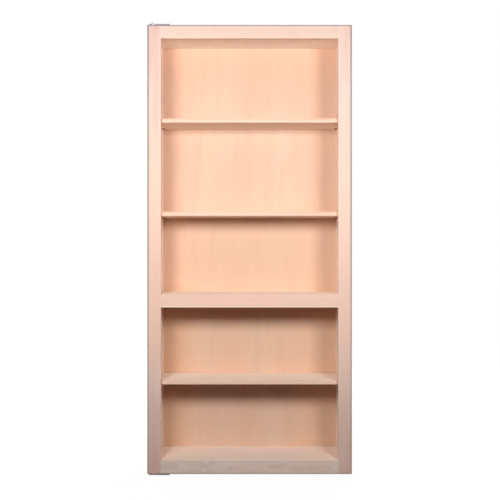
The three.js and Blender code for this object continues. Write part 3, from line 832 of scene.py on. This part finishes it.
# The panels' tops and the top panel's underside are paler, which is painted light; the fixed shelf's
# underside is painted brown, which is painted shade.
for node, paler in (("top_panel", (1, 0.3)), ("fixed_shelf", (-1, 1)), ("bottom_panel", (0.4, 0.85))):
    board(node, shelf_plywood, "x", "z", [], paler)
board("back_panel", thin_plywood, "z", "y", [(slight_ease, ["+y +z", "+y -z"])])
board("pivot_block", maple_plain, "x", "z", [(slight_ease, ["+x -z", "+y -z"])])
print("case: 7 boards")

# %% [markdown]
# ## The shelves
#
# Each adjustable shelf is a plywood panel with a solid strip glued to its front edge, rounded top and
# bottom. Veneer differs from sheet to sheet, so each shelf says how pale its panel and its edging are,
# below and above. The paler tops and undersides of the panels are painted light, each edging grows
# paler towards its lower arris as a painted highlight, and the lower shelf's underside, as the fixed
# shelf's, is painted brown: painted shade.

# %% Shelves and their edgings
shelf_ease = 1.6 * mm
shelf_shades = {
    "upper_shelf": {"panel": (0.45, 0.35), "edging": (0.6, 0.045)},
    "centre_shelf": {"panel": (0.45, 0.35), "edging": (0.6, 0.045)},
    "lower_shelf": {"panel": (-1, 1), "edging": (0.6, 0.5)},
}
for node, paler in shelf_shades.items():
    board(node, shelf_plywood, "x", "z", [(slight_ease, ["+y +z", "+y -z"])], paler["panel"])
    board(node + "_edging", maple_plain, "x", "y", [(shelf_ease, ["-y +z", "-y -z"])], paler["edging"])
print("shelves:", len(shelf_shades), "each with its edging")

# %% [markdown]
# ## Steel, nylon, plastic and ferrite
#
# The hardware is small, so its finishes are told apart by their gloss more than by their colour. Zinc
# plate is a little cloudy, a ground pin shows fine rings round its axis, drawn wire is darker, the
# shelf pins are a dark brown that paints the shade of the gap at each shelf end, nylon is a soft
# off-white, the catch is moulded in brown plastic, and its magnet is a gritty dark block.

# %% Finishes of the hardware
grit_reach, grind_reach = 0.05 * mm, 0.03 * mm


def cloudy(name, pale, dark, cloud_scale, rough, metallic, grit_scale, bump):
    """A finish with soft clouds of two tones and a fine grit in its gloss."""
    finish = Finish(name)
    where = finish.node("ShaderNodeTexCoord", out="Object")
    clouds = stretched(finish, where, (cloud_scale,) * 3, detail=4.0)
    grit = stretched(finish, where, (grit_scale,) * 3, detail=2.0)
    tone = mixed(finish, clouds.between(0.32, 0.7), pale, dark)
    roughness = rough + clouds * 0.1 + grit * 0.08
    return surface(finish, tone, roughness, grit, bump=bump, reach=grit_reach, metallic=metallic)


def ground(name, pale, dark, rough):
    """Bare steel with the fine rings that grinding leaves round an upright pin."""
    finish = Finish(name)
    where = finish.node("ShaderNodeTexCoord", out="Object")
    rings = stretched(finish, where, (60, 60, 9000), detail=2.0)
    marks = stretched(finish, where, (500, 500, 500))
    tone = mixed(finish, rings.between(0.35, 0.7) * 0.5 + marks.between(0.55, 0.8) * 0.4, pale, dark)
    return surface(finish, tone, rough + rings * 0.12, rings, bump=0.15, reach=grind_reach, metallic=1.0)


hardware_finish = {
    "zinc_steel": cloudy(
        "zinc_plate", srgb(182, 185, 191), srgb(148, 152, 160),
        cloud_scale=160, rough=0.26, metallic=0.95, grit_scale=2600, bump=0.25,
    ),
    "bright_steel": ground("ground_steel", srgb(196, 197, 200), srgb(152, 154, 159), rough=0.16),
    "spring_steel": ground("spring_wire", srgb(150, 150, 152), srgb(104, 104, 108), rough=0.24),
    "nylon": cloudy(
        "white_nylon", srgb(234, 232, 222), srgb(222, 219, 206),
        cloud_scale=220, rough=0.4, metallic=0.0, grit_scale=1500, bump=0.2,
    ),
    "brown_plastic": cloudy(
        "catch_plastic", srgb(118, 84, 60), srgb(98, 68, 48),
        cloud_scale=240, rough=0.42, metallic=0.0, grit_scale=4200, bump=0.35,
    ),
    "ferrite": cloudy(
        "magnet_ferrite", srgb(62, 60, 60), srgb(40, 39, 40),
        cloud_scale=900, rough=0.55, metallic=0.2, grit_scale=5200, bump=0.6,
    ),
}
# The shelf pins' dark brown is painted shade for the dark gap at each shelf end.
shaded_pin_steel = ground("dulled_steel", srgb(138, 108, 82), srgb(98, 72, 52), rough=0.42)
print("made", ", ".join(made.name for made in hardware_finish.values()), "and", shaded_pin_steel.name)

# %% [markdown]
# ## Plates
#
# The plates are stamped: their corners are round, their arrises broken, and their screw holes
# countersunk. The CAD plates have holes with a dozen flats. A flat-sided hole catches the light in
# facets, so each flat is split here and its new points are moved out to the circle.

# %% Round holes and sharp edges
level_reach = 0.01 * mm


def round_hole(bm, x, y, reach, cuts):
    """Splits the flats of a hole about the Z axis, and moves the new points out to its circles."""
    def off(vertex):
        return math.hypot(vertex.co.x - x, vertex.co.y - y)

    near = {vertex for vertex in bm.verts if off(vertex) < reach}
    radii = sorted(off(vertex) for vertex in near)
    flats = [
        edge for edge in bm.edges
        if near.issuperset(edge.verts) and abs(edge.verts[0].co.z - edge.verts[1].co.z) < level_reach
    ]
    bmesh.ops.subdivide_edges(bm, edges=flats, cuts=cuts, use_grid_fill=True)
    for vertex in bm.verts:
        distance = off(vertex)
        if 0 < distance < reach:
            radius = next((radius for radius in radii if radius > distance - merge_reach), distance)
            vertex.co.x = x + (vertex.co.x - x) * radius / distance
            vertex.co.y = y + (vertex.co.y - y) * radius / distance


def sharp_edges(bm, angle=50):
    """The edges at which two faces meet at more than an angle."""
    limit = math.radians(angle)
    return [edge for edge in bm.edges if edge.is_manifold and edge.calc_face_angle(0) > limit]


sample = merged_copy("floor_plate")
print("the floor plate's solid has", len(sharp_edges(sample)), "sharp edges")
sample.free()

# %% [markdown]
# ## Where the holes are
#
# The large hole of a plate lies about the pivot's axis, and a small one where its screw is, so their
# places come from the boxes of those nodes. The plates that are let into the wood have tight corners,
# to leave no gap in their mortises.

# %% Plates
corner_segments, arris_segments = 5, 2
plate_arris = 0.35 * mm


def plate(node, corner, holes):
    """A plate with round corners; each hole has a place, a reach that takes it in, and a number of cuts."""
    bm = merged_copy(node)
    for x, y, reach, cuts in holes:
        round_hole(bm, x, y, reach, cuts)
    uprights = [
        edge for sides in ("-x -y", "-x +y", "+x -y", "+x +y") for edge in edges_on(bm, node, *sides.split())
    ]
    ease(bm, uprights, corner, segments=corner_segments)
    ease(bm, sharp_edges(bm), plate_arris, segments=arris_segments)
    return finish_piece(bm, node, hardware_finish[slot_of[node]], smooth=32)


plate_corner, mortised_corner, block_corner = 2.5 * mm, 0.8 * mm, 0.6 * mm
screw_reach, pin_reach, bush_reach = 5.5 * mm, 7 * mm, 8 * mm
screw_cuts, bore_cuts = 3, 1
first_hole_off, last_hole_off = 20 * mm, 7.6 * mm
pivot = middle_of("floor_pivot_pin")


def bore(reach):
    """The large hole about the pivot's axis."""
    return [(pivot.x, pivot.y, reach, bore_cuts)]


def holes_of(screws):
    """The holes that some screws sit in."""
    return [(middle_of(node).x, middle_of(node).y, screw_reach, screw_cuts) for node in screws]


fixed_low, fixed_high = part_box("floor_plate")
fixed_row = (fixed_low.y + fixed_high.y) / 2
first_hole, last_hole = pivot.x + first_hole_off, fixed_high.x - last_hole_off
hole_row = (first_hole, (first_hole + last_hole) / 2, last_hole)
fixed_holes = [(x, fixed_row, screw_reach, screw_cuts) for x in hole_row]
plate_screws = [f"bottom_plate_screw_{i}" for i in range(1, 5)]
housing_screws = [f"top_housing_screw_{i}" for i in range(1, 3)]
plate("floor_plate", plate_corner, bore(pin_reach) + fixed_holes)
plate("head_plate", plate_corner, bore(bush_reach) + fixed_holes)
plate("bottom_pivot_plate", mortised_corner, bore(bush_reach) + holes_of(plate_screws))
plate("top_pivot_housing", mortised_corner, bore(bush_reach) + holes_of(housing_screws))
for node in ("keeper_angle", "lower_pole_plate", "upper_pole_plate", "catch_magnet", "catch_case"):
    plate(node, block_corner, [])
print("9 plates and blocks")

# %% [markdown]
# ## Pins and bushes
#
# These are turned on a lathe, and spinning a few points round an axis is the same thing. The arrises
# are broken afterwards with a small bevel.

# %% Turned pieces
weld_reach = 0.001 * mm


def spun(profile, sides=48, axis=(0, 0, 1), closed=False):
    """A bmesh of a profile of (radius, height) points spun about an axis through the origin."""
    bm = bmesh.new()
    upright = axis[2] == 1
    corners = [bm.verts.new((r, 0, h) if upright else (h, r, 0)) for r, h in profile]
    pairs = list(zip(corners, corners[1:])) + ([(corners[-1], corners[0])] if closed else [])
    edges = [bm.edges.new(pair) for pair in pairs]
    bmesh.ops.spin(
        bm, geom=corners + edges, cent=(0, 0, 0), axis=axis, dvec=(0, 0, 0),
        angle=2 * math.pi, steps=sides, use_merge=True, use_duplicate=False,
    )
    bmesh.ops.remove_doubles(bm, verts=bm.verts, dist=weld_reach)
    bmesh.ops.recalc_face_normals(bm, faces=bm.faces)
    return bm


def turned(node, profile, arris, closed=False):
    """A piece turned about the pivot's axis; heights are from the node's lower end, and all in mm."""
    bm = spun([(r * mm, h * mm) for r, h in profile], closed=closed)
    ease(bm, sharp_edges(bm, angle=30), arris * mm, segments=arris_segments)
    low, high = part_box(node)
    bmesh.ops.translate(bm, verts=bm.verts, vec=(pivot.x, pivot.y, low.z))
    return finish_piece(bm, node, hardware_finish[slot_of[node]], smooth=32)


turned("floor_pivot_pin", [(0, 0), (4, 0), (4, 3), (5, 3), (5, 24.2), (3.5, 25.7), (0, 25.7)], arris=0.25)
top_pin = [(0, 0), (2.5, 0), (2.5, 14), (5.2, 14), (5.2, 18), (4, 18), (4, 32.1), (2.8, 33.3), (0, 33.3)]
turned("top_pivot_pin", top_pin, arris=0.25)
turned("thrust_washer", [(5.3, 0), (8.5, 0), (8.5, 2.4), (5.3, 2.4)], arris=0.3, closed=True)
turned("bottom_pivot_bush", [(5.3, 0), (6.5, 0), (6.5, 25), (5.3, 25)], arris=0.2, closed=True)
turned("head_bush", [(4.3, 0), (8, 0), (8, 1), (6, 1), (6, 12.3), (4.3, 12.3)], arris=0.2, closed=True)
print("5 turned pieces")

# %% [markdown]
# ## Shelf pins
#
# A shelf rests on four steel pins. Each is a peg in the side's hole, a thin collar against the side,
# and a nose with a flat on top for the shelf. The flat is pressed: the points above its level are
# brought down to it, and only in front of the hole.

# %% Shelf pins
pin_profile = [
    (0, -8), (1.9, -8), (2.4, -7.4), (2.4, 0.15), (4, 0.15), (4, 1.25), (3.2, 1.25), (3.2, 9.15), (0, 9.15)
]
pin_arris = 0.3 * mm
pin_peg, pin_collar = 8 * mm, 4 * mm
pin_flat = 2 * mm
flat_start = 0.075 * mm


def shelf_pin(node):
    """A shelf pin along X, turned round for the right side and put where its node is."""
    bm = spun([(r * mm, h * mm) for r, h in pin_profile], sides=32, axis=(1, 0, 0))
    ease(bm, sharp_edges(bm, angle=40), pin_arris, segments=arris_segments)
    for vertex in bm.verts:
        if vertex.co.x > flat_start:
            vertex.co.z = min(vertex.co.z, pin_flat)
    low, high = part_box(node)
    on_right = low.x > 0
    if on_right:
        bmesh.ops.rotate(bm, verts=bm.verts, cent=(0, 0, 0), matrix=Matrix.Rotation(math.pi, 3, "Z"))
    face = high.x - pin_peg if on_right else low.x + pin_peg
    bmesh.ops.translate(bm, verts=bm.verts, vec=(face, (low.y + high.y) / 2, low.z + pin_collar))
    return finish_piece(bm, node, shaded_pin_steel, smooth=32)


shelf_pins = [node for node in frame["nodes"] if "_shelf_pin_" in node]
for node in shelf_pins:
    shelf_pin(node)
print(len(shelf_pins), "shelf pins")

# %% [markdown]
# ## Screws
#
# Each screw's head has a cross cut into it. The top of the head is a small grid that is bridged to the
# head's round edge, and the cells of the cross are pushed in.

# %% The head of a screw
cross_cells = 10
cross_cell = 0.42 * mm
cross_arm, cross_margin = 1.01 * cross_cell, 0.9 * cross_cell
cross_depth = 1.3 * mm
cross_taper = 0.7


def screw_head(bm, radius):
    """Makes a head's face at zero, with its cross, and returns the edges of its rim."""
    side = cross_cell * cross_cells / 2
    bmesh.ops.create_grid(bm, x_segments=cross_cells, y_segments=cross_cells, size=side)
    rim = [edge for edge in bm.edges if edge.is_boundary]
    made = bmesh.ops.create_circle(bm, cap_ends=False, radius=radius, segments=len(rim))
    ring = list(dict.fromkeys(edge for vertex in made["verts"] for edge in vertex.link_edges))
    bmesh.ops.bridge_loops(bm, edges=rim + ring)
    cross = []
    for face in bm.faces:
        middle = face.calc_center_median()
        x, y = abs(middle.x), abs(middle.y)
        if min(x, y) < cross_arm and max(x, y) < side - cross_margin:
            cross.append(face)
    pushed = bmesh.ops.extrude_face_region(bm, geom=cross)["geom"]
    bottom = [item for item in pushed if isinstance(item, bmesh.types.BMVert)]
    bmesh.ops.translate(bm, verts=bottom, vec=(0, 0, -cross_depth))
    bmesh.ops.scale(bm, verts=bottom, vec=(cross_taper, cross_taper, 1))
    bmesh.ops.delete(bm, geom=[face for face in cross if face.is_valid], context="FACES_ONLY")
    return ring


print("a cross of", cross_cells, "by", cross_cells, "cells")

# %% [markdown]
# ## The thread
#
# From the head's edge the shank is drawn down ring by ring. Along the thread the radius also depends
# on the angle, so that its crest climbs as a helix. A spun profile would give rings that don't climb.

# %% The shank and the thread
thread_depth = 0.5
crest_sharpness = 3
rings_per_turn = 6


def next_ring(bm, ring, depth, radius_at):
    """Draws a ring of edges down to a depth, with the radius at each part of a turn; all in mm."""
    made = bmesh.ops.extrude_edge_only(bm, edges=ring)["geom"]
    moved = {item for item in made if isinstance(item, bmesh.types.BMVert)}
    for vertex in moved:
        x, y = vertex.co.x, vertex.co.y
        scale = radius_at(math.atan2(y, x) / (2 * math.pi)) * mm / math.hypot(x, y)
        vertex.co = (x * scale, y * scale, -depth * mm)
    return [item for item in made if isinstance(item, bmesh.types.BMEdge) and moved.issuperset(item.verts)]


def screw(node, head, thread_end, pitch, tip, head_up):
    """A screw with its head's face at zero; head and tip are (radius, depth) in mm."""
    bm = bmesh.new()
    ring = screw_head(bm, head[0][0] * mm)
    for radius, depth in head[1:]:
        ring = next_ring(bm, ring, depth, lambda turn: radius)
    crest, start = head[-1]
    rings = round((thread_end - start) / pitch * rings_per_turn)
    for i in range(rings):
        depth = start + (thread_end - start) * (i + 1) / rings

        def thread(turn):
            near_crest = abs((turn + depth / pitch) % 1 * 2 - 1)
            return crest - thread_depth * (1 - near_crest ** crest_sharpness)
        ring = next_ring(bm, ring, depth, thread)
    ring = next_ring(bm, ring, tip[1], lambda turn: tip[0])
    bmesh.ops.holes_fill(bm, edges=ring, sides=0)
    bmesh.ops.recalc_face_normals(bm, faces=bm.faces)
    low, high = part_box(node)
    if not head_up:
        bmesh.ops.rotate(bm, verts=bm.verts, cent=(0, 0, 0), matrix=Matrix.Rotation(math.pi, 3, "X"))
    face = high.z if head_up else low.z
    bmesh.ops.translate(bm, verts=bm.verts, vec=((low.x + high.x) / 2, (low.y + high.y) / 2, face))
    return finish_piece(bm, node, hardware_finish["zinc_steel"], smooth=38)


wood_screw = {
    "head": [(3.6, 0), (3.8, 0.2), (1.9, 2), (1.9, 6)],
    "thread_end": 21, "pitch": 2.2, "tip": (0.3, 25),
}
catch_screw = {
    "head": [(2.4, 0), (2.8, 0.3), (3, 0.9), (3, 2), (1.5, 2), (1.5, 4)],
    "thread_end": 15, "pitch": 1.6, "tip": (0.25, 18),
}
catch_screws = [f"catch_screw_{i}" for i in range(1, 3)]
for node in plate_screws:
    screw(node, **wood_screw, head_up=False)
for node in housing_screws:
    screw(node, **wood_screw, head_up=True)
for node in catch_screws:
    screw(node, **catch_screw, head_up=True)
print(len(plate_screws + housing_screws + catch_screws), "screws")

# %% [markdown]
# ## The spring
#
# It pushes the top pin up into the head bush. A circle of wire is spun round the axis and raised as it
# goes: one close turn at each end, which the cup and the collar bear on, and seven open turns between.

# %% Spring
spring_low, spring_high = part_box("top_pivot_spring")
wire_radius = 0.6 * mm
wire_sides = 14
coil_radius = 3.9 * mm
turn_steps = 32
closed_pitch = 1.3 * mm
closed_turns = 1
open_turns = 7
rise = spring_high.z - spring_low.z - 2 * wire_radius
open_pitch = (rise - 2 * closed_turns * closed_pitch) / open_turns
bm = bmesh.new()
loop = bmesh.ops.create_circle(bm, cap_ends=True, radius=wire_radius, segments=wire_sides)["verts"]
bmesh.ops.rotate(bm, verts=loop, cent=(0, 0, 0), matrix=Matrix.Rotation(math.pi / 2, 3, "X"))
bmesh.ops.translate(bm, verts=loop, vec=(coil_radius, 0, wire_radius))
geometry = list(bm.faces) + list(bm.edges) + list(bm.verts)
for pitch, turns in ((closed_pitch, closed_turns), (open_pitch, open_turns), (closed_pitch, closed_turns)):
    geometry = bmesh.ops.spin(
        bm, geom=geometry, cent=(0, 0, 0), axis=(0, 0, 1), dvec=(0, 0, pitch / turn_steps),
        angle=2 * math.pi * turns, steps=turn_steps * turns, use_merge=False, use_duplicate=False,
    )["geom_last"]
bmesh.ops.remove_doubles(bm, verts=bm.verts, dist=weld_reach)
bmesh.ops.recalc_face_normals(bm, faces=bm.faces)
bmesh.ops.translate(bm, verts=bm.verts, vec=(pivot.x, pivot.y, spring_low.z))
spring = finish_piece(bm, "top_pivot_spring", hardware_finish["spring_steel"], smooth=50)
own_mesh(spring)
print("spring of", 2 * closed_turns + open_turns, "turns")

# %% [markdown]
